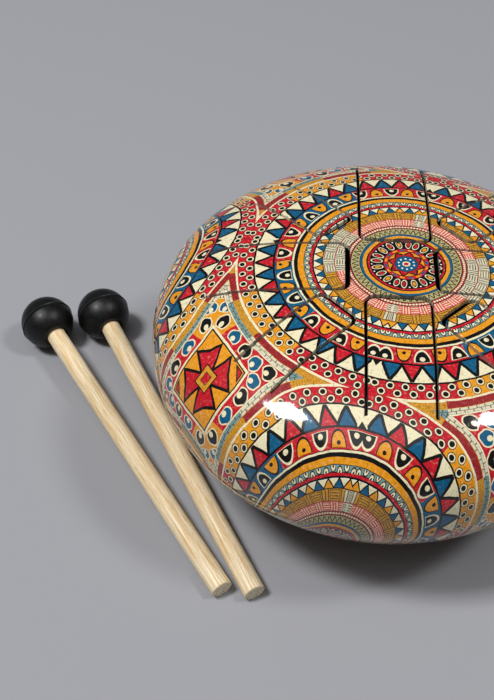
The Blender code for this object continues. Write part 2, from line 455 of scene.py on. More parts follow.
def add_top_shell(materials):
    mesh = Mesh()
    cuts = [window_cut(*tongue[1:]) for tongue in TONGUES]
    reach = float(arc_at(PATCH_RADIUS))
    turns = np.arange(ROUND_STEPS) * 2 * pi / ROUND_STEPS
    edge = np.stack([np.cos(turns), np.sin(turns)], axis=1) * reach
    fill = hex_grid(reach - SPACING * 0.6, SPACING)
    for *_, loop in cuts:
        fill = well_outside(fill, loop, SPACING * 0.5)
    rows = steel_patch(mesh, edge, [loop for *_, loop in cuts], fill)
    for (turn, exact, lips, away, _), (above, below) in zip(cuts, rows[1:]):
        add_rim(mesh, above, below, exact, away, lips, turn, -1)
    above, below = rows[0]
    steps = int((EQUATOR_ARC - reach) / SPACING) + 1
    for step in range(1, steps + 1):
        flat = edge * (1 + (EQUATOR_ARC / reach - 1) * step / steps)
        place, normal = on_steel(flat)
        outer = mesh.add(place, normal, flat)
        thickness = STEEL + (CUT_STEEL - STEEL) * max(1 - step / 3, 0)
        inner = mesh.add(place - normal * thickness, -normal, flat)
        mesh.strip(outer, above, 0)
        mesh.strip(below, inner, 1)
        above, below = outer, inner
    mesh.strip(below, above, 1)
    return mesh.build("top_shell_steel", materials)


def add_tongue(name, bearing, pitch, tip, root, materials):
    mesh = Mesh()
    turn = radians(bearing) + LAYOUT_TURN
    root_half = (pitch - SIDE_SLOT) / 2
    exact, lips = tongue_outline(
        pitch, tip, root - SEAM, -SIDE_SLOT / 2, -TIP_SLOT / 2, TONGUE_CORNER, root_half
    )
    narrow, away = shifted(exact, lips, -LIP)
    edge = plan_to_map(laid_out(narrow, turn))
    fill = well_inside(hex_grid(float(arc_at(root)) * 1.1, SPACING), edge, SPACING * 0.5)
    ((above, below),) = steel_patch(mesh, edge, [], fill)
    add_rim(mesh, above, below, exact, away, lips, turn, 1)
    return mesh.build(name + "_steel", materials)


# ---------------------------------------------------------------- bottom shell and feet


def circle(radius, steps, middle=(0.0, 0.0)):
    turns = np.arange(steps) * 2 * pi / steps
    return np.stack([middle[0] + radius * np.cos(turns), middle[1] + radius * np.sin(turns)], axis=1)


def ring_at(mesh, radius, height, normal, steps=ROUND_STEPS, flat=None):
    """One level row of points round the drum's axis. normal is its outward and upward part."""
    plan = circle(radius, steps)
    unit = plan / radius
    points = np.column_stack([plan + (AXIS_X, 0), np.full(steps, height)])
    return mesh.add(points, np.column_stack([unit * normal[0], np.full(steps, normal[1])]), flat)


def add_bottom_shell(materials):
    """The bowl, its flat base with the port and the foot holes, and the collar inside the dome."""
    mesh = Mesh()
    unit = circle(1.0, ROUND_STEPS)
    steps = int((ARC[-1] - EQUATOR_ARC) / SPACING) + 1
    outer, inner = [], []
    for arc in np.linspace(EQUATOR_ARC, ARC[-1], steps + 1):
        place, normal = on_steel(unit * arc)
        outer.append(mesh.add(place, normal, unit * arc))
        if len(outer) > 1:
            mesh.strip(outer[-1], outer[-2], 0)
            inner.append(mesh.add(place - normal * STEEL, -normal, unit * arc))
        if len(inner) > 1:
            mesh.strip(inner[-2], inner[-1], 1)
    add_collar(mesh, outer[0], inner[0])
    add_base_plate(mesh, outer[-1], inner[-1])
    return mesh.build("bottom_shell_steel", materials)


def add_collar(mesh, rim, first_inner):
    """From the bowl's rim in along the ledge, up the collar, over its top and down to the bowl's inside."""
    collar = RADIUS - STEEL - 2 * GAP
    lining = collar - STEEL
    top = EQUATOR + COLLAR_HEIGHT
    shape = (
        (RADIUS - 0.0002, EQUATOR, (0, 1)),
        (collar, EQUATOR, (0, 1)),
        (collar, EQUATOR + COLLAR_EDGE, (1, 0)),
        (collar, top - COLLAR_EDGE, (1, 0)),
        (collar - COLLAR_EDGE, top, (0, 1)),
        (lining + COLLAR_EDGE, top, (0, 1)),
        (lining, top - COLLAR_EDGE, (-1, 0)),
        (lining, EQUATOR - COLLAR_EDGE, (-1, 0)),
    )
    rows = [rim, *(ring_at(mesh, *ring) for ring in shape), first_inner]
    for one, two in zip(rows, rows[1:]):
        mesh.strip(one, two, 1)


def add_base_plate(mesh, outer, inner):
    """The flat base: its two faces, the port's rounded edge and the holes for the feet."""
    edge = np.array(mesh.points)[outer][:, :2] - (AXIS_X, 0)
    port = circle(PORT_RADIUS + LIP, PORT_STEPS)
    drills = [circle(STEM_RADIUS + GAP, DRILL_STEPS, place) for place in foot_places()]
    fill = hex_grid(PLATE_EDGE - 0.001, 0.0030)
    for loop in (port, *drills):
        fill = well_outside(fill, loop, 0.0012)
    plan, faces, loops = triangulate(edge, [port, *drills], fill)
    faces = facing_up(plan, faces)
    low = np.column_stack([plan + (AXIS_X, 0), np.full(len(plan), FOOT_HEIGHT)])
    high = low + (0, 0, STEEL)
    up = np.tile((0, 0, 1.0), (len(plan), 1))
    radius = np.maximum(np.hypot(*plan.T), 1e-6)
    flat = plan / radius[:, None] * (ARC[-1] + PLATE_EDGE - radius)[:, None]
    under, over = mesh.add(low, -up, flat), mesh.add(high, up, flat)
    under[loops[0]], over[loops[0]] = outer, inner
    for face in faces:
        mesh.face(under[face[::-1]], 1)
        mesh.face(over[face], 1)
    for loop in loops[2:]:
        mesh.strip(over[loop], under[loop], 1)
    turns = loops[1]
    rows = [under[turns]]
    for angle in (30, 60, 90):
        inset = LIP * (1 - sin(radians(angle)))
        lifted = FOOT_HEIGHT + LIP * (1 - cos(radians(angle)))
        normal = (-sin(radians(angle)), -cos(radians(angle)))
        rows.append(ring_at(mesh, PORT_RADIUS + inset, lifted, normal, PORT_STEPS))
    rows.append(ring_at(mesh, PORT_RADIUS, FOOT_HEIGHT + STEEL - LIP, (-1, 0), PORT_STEPS))
    rows.append(over[turns])
    for one, two in zip(rows, rows[1:]):
        mesh.strip(two, one, 1)


def foot_places():
    turns = [2 * pi * (i + 0.5) / FOOT_COUNT for i in range(FOOT_COUNT)]
    return [(FOOT_CIRCLE * sin(turn), FOOT_CIRCLE * cos(turn)) for turn in turns]


def rounded(points, radius, steps=5):
    """A profile with each corner but its two ends replaced by a short curve."""
    line = [Vector(point) for point in points]
    out = [line[0]]
    for before, corner, after in zip(line, line[1:], line[2:]):
        back, on = before - corner, after - corner
        start = corner + back.normalized() * min(radius, back.length * 0.45)
        end = corner + on.normalized() * min(radius, on.length * 0.45)
        for step in range(steps + 1):
            share = step / steps
            out.append(start * (1 - share) ** 2 + corner * 2 * share * (1 - share) + end * share**2)
    return [(p[0], p[1]) for p in out] + [(line[-1][0], line[-1][1])]


def turned_piece(name, profile, steps, materials, slot_of=None, matrix=None):
    """A closed solid turned about +Z from a (radius, height) profile that starts and ends on the axis.

    The profile runs from the bottom up its outer side. Each point keeps its place in the piece's own
    frame, in millimetres, for the material.
    """
    line = np.array(profile)
    turns = np.arange(steps) * 2 * pi / steps
    points, faces, slots, rows = [], [], [], []
    for radius, height in line:
        if radius < 1e-7:
            rows.append([len(points)] * steps)
            points.append((0, 0, height))
            continue
        rows.append(list(range(len(points), len(points) + steps)))
        points += [(radius * cos(t), radius * sin(t), height) for t in turns]
    for number, (one, two) in enumerate(zip(rows, rows[1:])):
        for i in range(steps):
            j = (i + 1) % steps
            faces.append(tuple(dict.fromkeys((one[i], one[j], two[j], two[i]))))
            middle = (line[number] + line[number + 1]) / 2
            slots.append(slot_of(middle[1]) if slot_of else 0)
    mesh = bpy.data.meshes.new(name)
    mesh.from_pydata(points, [], faces)
    mesh.polygons.foreach_set("material_index", slots)
    store_vector(mesh, "own_place", np.array(points) / MM)
    mesh.shade_smooth()
    mesh.set_sharp_from_angle(angle=radians(50))
    if matrix is not None:
        mesh.transform(matrix)
    for material in materials:
        mesh.materials.append(material)
    return linked(name, mesh)


def foot_profile():
    """A tapered pad with a ribbed side and a dished underside, its stem and the barb inside the drum."""
    under = FOOT_HEIGHT - SEAM
    over = FOOT_HEIGHT + STEEL + GAP
    barb = STEM_RADIUS + 0.0015
    points = [
        (0, 0.0006),
        (0.0045, 0.0006),
        (0.0055, 0),
        (FOOT_RADIUS - 0.0018, 0),
        (FOOT_RADIUS - 0.0009, 0.0012),
        (FOOT_RADIUS - 0.0006, 0.0030),
        (FOOT_RADIUS - 0.0009, 0.0034),
        (FOOT_RADIUS - 0.0005, 0.0038),
        (FOOT_RADIUS - 0.0003, 0.0060),
        (FOOT_RADIUS, under - 0.0012),
        (FOOT_RADIUS - 0.0005, under),
        (STEM_RADIUS, under),
        (STEM_RADIUS, over),
        (barb, over),
        (barb, over + 0.0008),
        (STEM_RADIUS - 0.001, over + 0.0048),
        (0, over + 0.0050),
    ]
    return rounded(points, 0.0005, 4)


# ---------------------------------------------------------------- mallets


def mallet_matrix(butt, bearing):
    """The frame at the middle of the handle's butt, with +Z along the handle towards the head."""
    angle = radians(bearing)
    start = Vector((AXIS_X + butt[0], butt[1], HANDLE_RADIUS))
    run = Vector((sin(angle) * HANDLE_LENGTH, cos(angle) * HANDLE_LENGTH, HEAD_RADIUS - HANDLE_RADIUS))
    matrix = run.to_track_quat("Z", "Y").to_matrix().to_4x4()
    matrix.translation = start
    return matrix


def handle_profile():
    """A dowel sawn square, its butt's edge sanded, its far end inside the head."""
    depth = HANDLE_LENGTH - HEAD_RADIUS + SOCKET_DEPTH - GAP
    side = [
        (HANDLE_RADIUS - 0.00003 * (1 + sin(height * 900)), height)
        for height in np.linspace(0.004, depth - 0.002, 44)
    ]
    butt = [(0, 0), (0.0024, 0), (HANDLE_RADIUS - 0.0004, 0.0), (HANDLE_RADIUS, 0.0004)]
    end = [(HANDLE_RADIUS, depth - 0.0004), (HANDLE_RADIUS - 0.0004, depth), (0, depth)]
    return rounded(butt, 0.0004) + side + end


def head_profile():
    """A moulded ball with a raised parting line round its widest part and a deep socket for the handle."""
    bore = HANDLE_RADIUS + 0.00004
    ball = HEAD_RADIUS - 0.00035
    mouth = HANDLE_LENGTH - sqrt(ball**2 - (bore + 0.0012) ** 2) * 0.93
    floor = HANDLE_LENGTH - HEAD_RADIUS + SOCKET_DEPTH
    back = []
    for step in range(1, 23):
        angle = pi / 2 * step / 24
        back.append((ball * cos(pi / 2 - angle) ** 0.94, HANDLE_LENGTH - ball * sin(pi / 2 - angle) * 0.97))
    back = [point for point in back if point[0] > bore + 0.0014]
    lip = [
        (ball, HANDLE_LENGTH - 0.0011),
        (ball - 0.0003, HANDLE_LENGTH - 0.0007),
        (HEAD_RADIUS - 0.0002, HANDLE_LENGTH - 0.0003),
        (HEAD_RADIUS, HANDLE_LENGTH),
        (HEAD_RADIUS - 0.0001, HANDLE_LENGTH + 0.0003),
        (ball + 0.0001, HANDLE_LENGTH + 0.0004),
    ]
    front = []
    for step in range(1, 25):
        angle = pi / 2 * step / 24
        front.append((max(ball * cos(angle), 0), HANDLE_LENGTH + ball * sin(angle)))
    front[-1] = (0, front[-1][1])
    return [(0, floor), (bore, floor), (bore, mouth + 0.0006), (bore + 0.0005, mouth)] + back + lip + front


# ---------------------------------------------------------------- node graphs


def linear(*colour):
    """A linear RGBA for an sRGB colour given as 0-255."""
    parts = [c / 255 for c in colour]
    return tuple(c / 12.92 if c <= 0.04045 else ((c + 0.055) / 1.055) ** 2.4 for c in parts) + (1.0,)


def operation(name):
    """A method that adds one Math node and gives its output."""
    return lambda graph, *values: graph.math(name, *values)


class Graph:
    """Builds a material's nodes in the order in which they are worked out."""

    def __init__(self, name):
        self.material = bpy.data.materials.new(name)
        self.material.use_nodes = True
        self.tree = self.material.node_tree
        self.shader = self.tree.nodes["Principled BSDF"]
        self.canvas = None

    def new(self, kind, **settings):
        node = self.tree.nodes.new(kind)
        for key, value in settings.items():
            setattr(node, key, value)
        return node

    def feed(self, socket, value):
        if isinstance(value, bpy.types.NodeSocket):
            self.tree.links.new(value, socket)
        else:
            socket.default_value = value

    def finished(self, inputs, height=None, strength=0.0, distance=0.0001):
        """The material, with its shader's inputs set and a bump of the given height, if there is one."""
        for name, value in inputs.items():
            self.feed(self.shader.inputs[name], value)
        if height is not None:
            bump = self.new("ShaderNodeBump")
            for name, value in (("Strength", strength), ("Distance", distance), ("Height", height)):
                self.feed(bump.inputs[name], value)
            self.feed(self.shader.inputs["Normal"], bump.outputs[0])
            if "Coat Weight" in inputs:
                self.feed(self.shader.inputs["Coat Normal"], bump.outputs[0])
        return self.material

    def math(self, operation, *values):
        node = self.new("ShaderNodeMath", operation=operation)
        for socket, value in zip(node.inputs, values):
            self.feed(socket, value)
        return node.outputs[0]

    add, minus, times, over = map(operation, ("ADD", "SUBTRACT", "MULTIPLY", "DIVIDE"))
    scaled, size, both = map(operation, ("MULTIPLY_ADD", "ABSOLUTE", "MULTIPLY"))
    less, more, near = map(operation, ("LESS_THAN", "GREATER_THAN", "COMPARE"))
    either, least = map(operation, ("MAXIMUM", "MINIMUM"))

    def wrap(self, value):
        """How far a value is from the nearest whole number, from -0.5 to 0.5."""
        return self.math("WRAP", value, 0.5, -0.5)

    def band(self, value, low, high):
        """1 where the value is between low and high."""
        return self.near(value, (low + high) / 2, (high - low) / 2)

    def share(self, value, low, high):
        """How far along from low to high a value is."""
        return self.scaled(value, 1 / (high - low), -low / (high - low))

    def cells(self, value, size):
        """Where a value lies in its cell, from -0.5 to 0.5, and 1 in the even cells. Cell 0 is round 0."""
        count = self.over(value, size)
        even = self.near(self.math("WRAP", count, 1.5, -0.5), 0.0, 0.5)
        return self.wrap(count), even

    def vector(self, operation, *values):
        node = self.new("ShaderNodeVectorMath", operation=operation)
        for socket, value in zip(node.inputs, values):
            self.feed(socket, value)
        return node.outputs["Value" if operation == "LENGTH" else "Vector"]

    def length(self, x, y):
        pair = self.new("ShaderNodeCombineXYZ")
        self.feed(pair.inputs[0], x)
        self.feed(pair.inputs[1], y)
        return self.vector("LENGTH", pair.outputs[0])

    def split(self, vector):
        node = self.new("ShaderNodeSeparateXYZ")
        self.feed(node.inputs[0], vector)
        return node.outputs[0], node.outputs[1]

    def attribute(self, name):
        return self.new("ShaderNodeAttribute", attribute_name=name).outputs["Vector"]

    def noise(self, vector, scale, detail=2.0, roughness=0.5, colour=False):
        node = self.new("ShaderNodeTexNoise")
        names = ("Vector", "Scale", "Detail", "Roughness")
        for name, value in zip(names, (vector, scale, detail, roughness)):
            self.feed(node.inputs[name], value)
        return node.outputs["Color" if colour else "Fac"]

    def span(self, value, low, high, out_low=0.0, out_high=1.0):
        node = self.new("ShaderNodeMapRange")
        for socket, number in zip(node.inputs[:5], (value, low, high, out_low, out_high)):
            self.feed(socket, number)
        return node.outputs[0]

    def mix(self, kind, first, mask, below, above):
        node = self.new("ShaderNodeMix", data_type=kind)
        for number, value in ((0, mask), (first, below), (first + 1, above)):
            self.feed(node.inputs[number], value)
        return node.outputs[2 if kind == "RGBA" else 0]

    def paint(self, mask, below, above):
        """The colour above where the mask is 1, over the colour below."""
        return self.mix("RGBA", 6, mask, below, above)

    def choose(self, mask, no, yes):
        return self.mix("FLOAT", 2, mask, no, yes)

    def lay(self, colour, *masks):
        """Lays a colour on the canvas where all the masks are 1."""
        mask = masks[0]
        for other in masks[1:]:
            mask = self.both(mask, other)
        self.canvas = self.paint(mask, self.canvas, colour)

    def fill(self, colour, value, limit, *masks):
        """Lays a colour where the value is under the limit."""
        self.lay(colour, self.less(value, limit), *masks)

    def fills(self, value, stops, *masks):
        for limit, colour in stops:
            self.fill(colour, value, limit, *masks)

    def steps(self, value, low, high, stops):
        """Plain rings of colour: each stop is where a colour starts, between low and high."""
        node = self.new("ShaderNodeValToRGB")
        ramp = node.color_ramp
        ramp.interpolation = "CONSTANT"
        for start, colour in stops[1:]:
            ramp.elements.new((start - low) / (high - low)).color = colour
        ramp.elements[0].color = stops[0][1]
        ramp.elements.remove(ramp.elements[len(ramp.elements) - 1])
        self.feed(node.inputs[0], self.span(value, low, high))
        return node.outputs[0]


RED = linear(190, 20, 37)
DARK_RED = linear(150, 26, 38)
ORANGE = linear(222, 146, 20)
BLUE = linear(0, 86, 122)
CREAM = linear(230, 220, 182)
BLACK = linear(10, 10, 11)
OLIVE = linear(178, 168, 114)
OCHRE = linear(204, 144, 34)
BROWN = linear(96, 62, 26)
PINK = linear(240, 214, 188)
SALMON = linear(204, 84, 66)
TEAL = linear(116, 146, 142)
NEWSPRINT = linear(212, 204, 174)
INK = linear(58, 54, 44)
WHITE = linear(244, 244, 238)
# Pale flecks on the strong colours: partly wear of the print, partly painted sheen of the lacquer.
PALE_WEAR_AND_SHEEN = linear(236, 214, 190)
WORN_DARK = linear(40, 24, 20)
# Pale cream laid over the print on the walls of the cuts: painted light on walls that lie in shade.
CUT_WALL_PAINTED_LIGHT = linear(236, 230, 212)

# The patterned rings of a mandala: from and to, in millimetres from its middle.
ZIGZAG_RING = (20.4, 23.7)
HATCH_RING = (26.5, 36.0)
HATCH_SPLIT = (30.9, 31.3)
INNER_TRIANGLES = (36.5, 40.1)
LOOP_RING = (41.95, 44.2)
EYE_RING = (49.6, 57.2)
OUTER_TRIANGLES = (58.1, 65.9)
DOT_RING = (66.7, 73.6)
CLOTH_RING = (74.5, 77.5)
BRICK_RING = (77.7, 80.1)
FIELD_START = 80.9

# Where each plain ring of a mandala starts, in millimetres from its middle.
INNER_RINGS = (
    (0.0, RED), (1.0, CREAM), (1.7, BLUE), (4.7, BLACK), (5.1, RED), (5.6, ORANGE), (7.8, BLACK),
    (8.1, RED), (9.8, BLACK), (15.9, RED), (16.6, BLACK), (17.3, ORANGE), (18.9, BLUE), (19.9, BLACK),
    (20.2, OLIVE), (23.9, BLACK), (24.2, DARK_RED), (26.2, BLACK), (HATCH_RING[0], SALMON),
    (HATCH_SPLIT[0], DARK_RED), (HATCH_SPLIT[1], OCHRE), (HATCH_RING[1], BLACK),
    (INNER_TRIANGLES[0], CREAM), (INNER_TRIANGLES[1], BLACK),
)
INNER_REACH = 40.0
OUTER_RINGS = (
    (INNER_REACH, BLACK), (40.6, RED), (41.7, BLACK), (LOOP_RING[0], TEAL), (LOOP_RING[1], BLACK),
    (44.4, ORANGE), (47.1, BLACK), (48.75, CREAM), (49.4, BLACK), (EYE_RING[0], RED), (EYE_RING[1], BLACK),
    (OUTER_TRIANGLES[0], CREAM), (OUTER_TRIANGLES[1], BLACK), (DOT_RING[0], RED), (DOT_RING[1], CREAM),
    (CLOTH_RING[0], OCHRE), (CLOTH_RING[1], BLACK), (BRICK_RING[0], TEAL), (BRICK_RING[1], CREAM),
    (80.5, DARK_RED), (FIELD_START, RED),
)
OUTER_REACH = 110.0


def triangles(g, r, angle, ring, size, even_colour, odd_colour, line):
    """A ring of triangles with their points outward and black outlines, on whatever is there."""
    band = g.band(r, *ring)
    place, even = g.cells(angle, size)
    height = g.share(r, *ring)
    inside_by = g.minus(g.scaled(g.size(place), -2.0, 1.0), height)
    colour = g.paint(even, odd_colour, even_colour)
    g.lay(colour, band, g.more(inside_by, 0.0))
    g.lay(BLACK, band, g.near(inside_by, 0.0, line))


def axis_triangle(g, r, axis):
    """On the mandala's axes two cream triangles meet, with a short black nick between them."""
    near = g.both(g.less(axis, 2.0), g.band(r, *OUTER_TRIANGLES))
    g.lay(CREAM, near)
    g.fill(BLACK, g.scaled(axis, 1.6, r), 60.6, near)


def spots(g, place, r, size, middle, radius, colour):
    """Round spots on a circle, one to a cell, where size is a cell's width in degrees."""
    across = g.times(place, g.times(r, radians(size)))
    g.fill(colour, g.length(across, g.minus(r, middle)), radius)


def eye_ring(g, r, west, blue_part):
    """Arches with a pupil, black and orange in turn, that point out or in by the ground they are on."""
    ring = g.band(r, *EYE_RING)
    g.lay(BLUE, ring, blue_part)
    place, orange = g.cells(west, 7.95)
    height = g.share(r, *EYE_RING)
    outward = g.near(orange, blue_part, 0.5)
    rise = g.size(g.minus(outward, height))
    arch = g.length(g.times(place, 1 / 0.46), g.scaled(rise, 1 / 0.86, -0.09 / 0.86))
    edge = g.either(arch, g.scaled(rise, -7.0, 1.63))
    pupil = g.length(g.times(place, 7.4), g.scaled(rise, 7.7, -2.5))
    rim = g.paint(orange, CREAM, BLACK)
    core = g.paint(orange, BLACK, ORANGE)
    g.fill(rim, edge, 1.0, ring)
    g.fill(core, edge, g.choose(orange, 0.84, 0.87), ring)
    g.fill(rim, pupil, g.choose(orange, 1.05, 0.85), ring)


def dot_rows(g, r, axis):
    """Two staggered rows of black dots with cream rims."""
    size, outer_row, inner_row = 5.15, 71.5, 68.35
    ring = g.band(r, *DOT_RING)
    g.lay(ORANGE, ring, g.more(axis, 29.2))
    count = g.scaled(axis, -1 / size, 45 / size)
    arc = g.times(r, radians(size))
    outer = g.times(g.wrap(count), arc)
    inner = g.times(g.wrap(g.add(count, 0.5)), arc)
    far, near = g.length(outer, g.minus(r, outer_row)), g.length(inner, g.minus(r, inner_row))
    g.fills(g.least(far, near), ((1.9, BLACK), (1.62, CREAM), (1.08, BLACK)), ring)


def loop_ring(g, r, west):
    """Small arches with a dot, up and down by turns, on pale blue."""
    ring = g.band(r, *LOOP_RING)
    place, even = g.cells(west, 3.85)
    rise = g.size(g.minus(even, g.share(r, *LOOP_RING)))
    edge = g.length(g.times(place, 1 / 0.40), g.scaled(rise, 1.1, -0.1))
    g.fills(edge, ((1.0, BLACK), (0.74, CREAM), (0.30, BLACK)), ring)


def hatched_rings(g, r, west, grain):
    """Two rings of blocks, hatched along and across in turn, with stretches that look like newsprint."""
    size = 7.15
    ring = g.minus(g.band(r, *HATCH_RING), g.band(r, *HATCH_SPLIT))
    outer = g.more(r, sum(HATCH_SPLIT) / 2)
    paper = g.both(ring, g.near(g.size(g.minus(west, 55.7)), 60.0, 30.0))
    g.lay(NEWSPRINT, paper)
    place, even = g.cells(west, size)
    along = g.near(even, outer, 0.5)
    stroke = g.choose(along, g.over(r, 1.15), g.over(west, size / 3))
    line = g.less(g.size(g.wrap(stroke)), g.choose(outer, 0.22, 0.17))
    line = g.both(line, g.less(g.size(place), 0.44))
    drawn = g.both(ring, g.both(line, g.more(grain, 0.38)))
    ink = g.paint(paper, g.paint(outer, PINK, INK), INK)
    g.lay(ink, drawn, 0.92)
    joint = g.both(g.more(g.size(place), 0.46), g.both(ring, outer))
    g.lay(BROWN, joint, 0.8)


def small_rings(g, r, west, axis):
    """The beads, the zigzag, the petals, the dashes and the dots of the middle."""
    place, _ = g.cells(west, 3.0)
    spots(g, place, r, 3.0, 25.2, 0.52, CREAM)
    place, _ = g.cells(west, 6.43)
    gap = g.wrap(g.minus(g.times(g.size(place), 2.0), g.share(r, *ZIGZAG_RING)))
    zigzag = g.less(g.size(gap), 0.22)
    g.lay(INK, zigzag, g.band(r, 20.6, 23.5))
    size = 18.8
    place, even = g.cells(g.scaled(axis, -1.0, 45.0), size)
    across = g.times(place, g.times(r, radians(size)))
    petal = g.length(g.over(across, 1.35), g.scaled(r, 1 / 2.6, -12.9 / 2.6))
    g.fills(petal, ((1.0, CREAM), (0.78, BLACK)))
    g.fill(g.paint(even, ORANGE, RED), petal, 0.50)
    spots(g, g.minus(0.5, g.size(place)), r, size, 15.0, 0.36, WHITE)
    place, even = g.cells(west, 22.5)
    dash = g.both(g.less(g.size(place), 0.3), g.band(r, 8.5, 9.5))
    g.lay(g.paint(even, BLUE, ORANGE), dash)
    triangles(g, r, west, (5.6, 7.8), 45.0, RED, DARK_RED, 0.2)
    place, _ = g.cells(west, 36.0)
    spots(g, place, r, 36.0, 3.4, 0.42, WHITE)


def outer_bands(g, r, west, grain):
    """The two hatched bands that follow each mandala's edge, one of cloth and one of bricks."""
    dark = g.either(g.band(west, 18.0, 31.0), g.band(west, 47.5, 66.0))
    g.lay(DARK_RED, dark, g.band(r, *CLOTH_RING))
    g.lay(NEWSPRINT, dark, g.band(r, *BRICK_RING))
    threads = g.least(g.size(g.wrap(g.over(west, 0.85))), g.size(g.wrap(r)))
    weave = g.both(g.less(threads, 0.12), g.more(grain, 0.46))
    weave = g.both(weave, g.band(r, 74.7, 77.4))
    g.lay(BROWN, weave, 0.45)
    course = sum(BRICK_RING) / 2
    bed = g.near(r, course, 0.12)
    joint = g.scaled(g.more(r, course), 0.5, g.over(west, 2.6))
    joint = g.less(g.size(g.wrap(joint)), 0.06)
    mortar = g.both(g.either(bed, joint), g.band(r, *BRICK_RING))
    g.lay(INK, mortar, 0.9)


# Eyes in the star between four mandalas: place from its middle, lean, half length and width, colour.
STAR_EYES = (
    (12.0, 15.3, 45, 3.5, 3.7, BLUE),
    (4.5, 22.6, 60, 4.0, 3.5, BLACK),
    (18.5, 8.9, 40, 3.7, 3.6, BLACK),
    (24.0, 3.5, 15, 4.0, 3.4, BLUE),
    (3.6, 30.4, 80, 3.8, 3.4, BLUE),
    (31.2, 0.0, 0, 3.9, 3.5, BLACK),
    (0.0, 37.0, 90, 2.8, 1.5, BLACK),
)


def star_field(g, r, x, y):
    """The four-pointed field between mandalas: eyes round its edge and a diamond with a star inside."""
    field = g.more(r, FIELD_START)
    slope = g.scaled(x, -0.75, y)
    g.lay(ORANGE, field, g.more(slope, 12.5))
    for place_x, place_y, lean, half_length, half_width, colour in STAR_EYES:
        dx, dy = g.minus(x, place_x), g.minus(y, place_y)
        c, s = cos(radians(lean)), sin(radians(lean))
        along = g.scaled(dx, c / half_length, g.times(dy, s / half_length))
        across = g.scaled(dx, -s / half_width, g.times(dy, c / half_width))
        point = g.scaled(g.size(across), 0.75, g.times(along, 0.8))
        edge = g.either(g.length(along, across), g.either(point, g.times(along, -1.3)))
        g.fills(edge, ((1.0, CREAM), (0.83, colour)), field)
        pupil = g.length(g.add(along, 0.3), across)
        g.fill(CREAM, pupil, 0.33, field)
    diamond(g, x, y)


def diamond(g, x, y):
    """A framed diamond with a red star of eight points, and a small diamond in its middle."""
    spread = g.add(x, y)
    face = 19.4
    g.fills(spread, ((21.8, CREAM), (20.3, BLACK), (face, ORANGE)))
    far, near = g.either(x, y), g.least(x, y)
    notch = g.scaled(near, -0.16, g.minus(far, 11.0))
    leaf = g.scaled(far, -0.387, g.minus(near, 1.66))
    star = g.either(notch, leaf)
    g.fill(RED, star, 0.0)
    g.lay(BLACK, g.less(spread, face), g.near(star, 0.0, 0.62))
    for start, limit, colour in ((15.2, 18.8, BLACK), (15.9, 18.0, RED)):
        g.fill(colour, spread, limit, g.more(x, start))
    g.fills(spread, ((5.9, BLACK), (5.2, OCHRE), (2.9, BLACK), (2.5, RED)))


def draw_print(g):
    """Draws the whole print. Its parts mirror in the mandala's axes, so angles are folded there."""
    place = g.attribute("print_place")
    wobble = g.noise(place, 0.16, 2.0, 0.5, colour=True)
    place = g.vector("MULTIPLY_ADD", wobble, (0.9, 0.9, 0.0), place)
    x, y = g.split(place)
    half_x, half_y = PRINT_PITCH[0] / 2, PRINT_PITCH[1] / 2
    x = g.size(g.math("WRAP", x, half_x, -half_x))
    y = g.size(g.math("WRAP", y, half_y, -half_y))
    r = g.length(x, y)
    west = g.times(g.math("ARCTAN2", y, x), 180 / pi)
    axis = g.minus(45.0, g.size(g.minus(west, 45.0)))
    grain = g.noise(place, 1.3, 2.0, 0.6)
    middle = g.steps(r, 0.0, INNER_REACH, INNER_RINGS)
    edge = g.steps(r, INNER_REACH, OUTER_REACH, OUTER_RINGS)
    g.canvas = g.paint(g.more(r, INNER_TRIANGLES[1]), middle, edge)
    small_rings(g, r, west, axis)
    hatched_rings(g, r, west, grain)
    triangles(g, r, west, INNER_TRIANGLES, 6.75, BLUE, ORANGE, 0.14)
    loop_ring(g, r, west)
    eye_ring(g, r, west, g.band(west, 13.9, 52.1))
    fold = g.minus(45.0, axis)
    triangles(g, r, fold, OUTER_TRIANGLES, 7.8, RED, BLUE, 0.17)
    axis_triangle(g, r, axis)
    dot_rows(g, r, axis)
    outer_bands(g, r, west, grain)
    star_field(g, r, g.minus(half_x, x), g.minus(half_y, y))
    wear_and_sheen(g, place)


def wear_and_sheen(g, place):
    """Mottles the strong colours with pale flecks, partly worn print and partly painted sheen, and leaves
    cream and black nearly even.
    """
    parts = g.new("ShaderNodeSeparateColor", mode="HSV")
    g.feed(parts.inputs[0], g.canvas)
    strong = g.times(parts.outputs[1], parts.outputs[2])
    cloud = g.noise(place, 0.75, 4.0, 0.65)
    fleck = g.span(cloud, 0.55, 0.69)
    # Pale flecks: partly scuffs in the print, partly painted sheen of the lacquer.
    g.lay(PALE_WEAR_AND_SHEEN, g.times(fleck, g.times(strong, 0.5)))
    g.lay(WORN_DARK, g.times(g.span(cloud, 0.46, 0.30), 0.5))


def lacquer(g):
    """A thick gloss lacquer, not quite level, over the print."""
    inputs = {
        "Base Color": g.canvas,
        "Roughness": 0.42,
        "Specular IOR Level": 0.1,
        "Coat Weight": 1.0,
        "Coat Roughness": 0.075,
        "Coat IOR": 1.42,
    }
    return g.finished(inputs, g.noise(g.attribute("map_place"), 0.35, 3.0, 0.6), 0.35)


def dome_print():
    g = Graph("printed_dome")
    draw_print(g)
    return lacquer(g)


def cut_print_with_painted_light():
    """The film where it wraps into the cuts, thick with lacquer, with pale cream laid over it as painted
    light on walls that lie in shade.
    """
    g = Graph("printed_cuts_painted_light")
    draw_print(g)
    # A quarter of pale cream over the print: painted light on the shaded walls of the cuts.
    g.lay(CUT_WALL_PAINTED_LIGHT, 0.25)
    return lacquer(g)


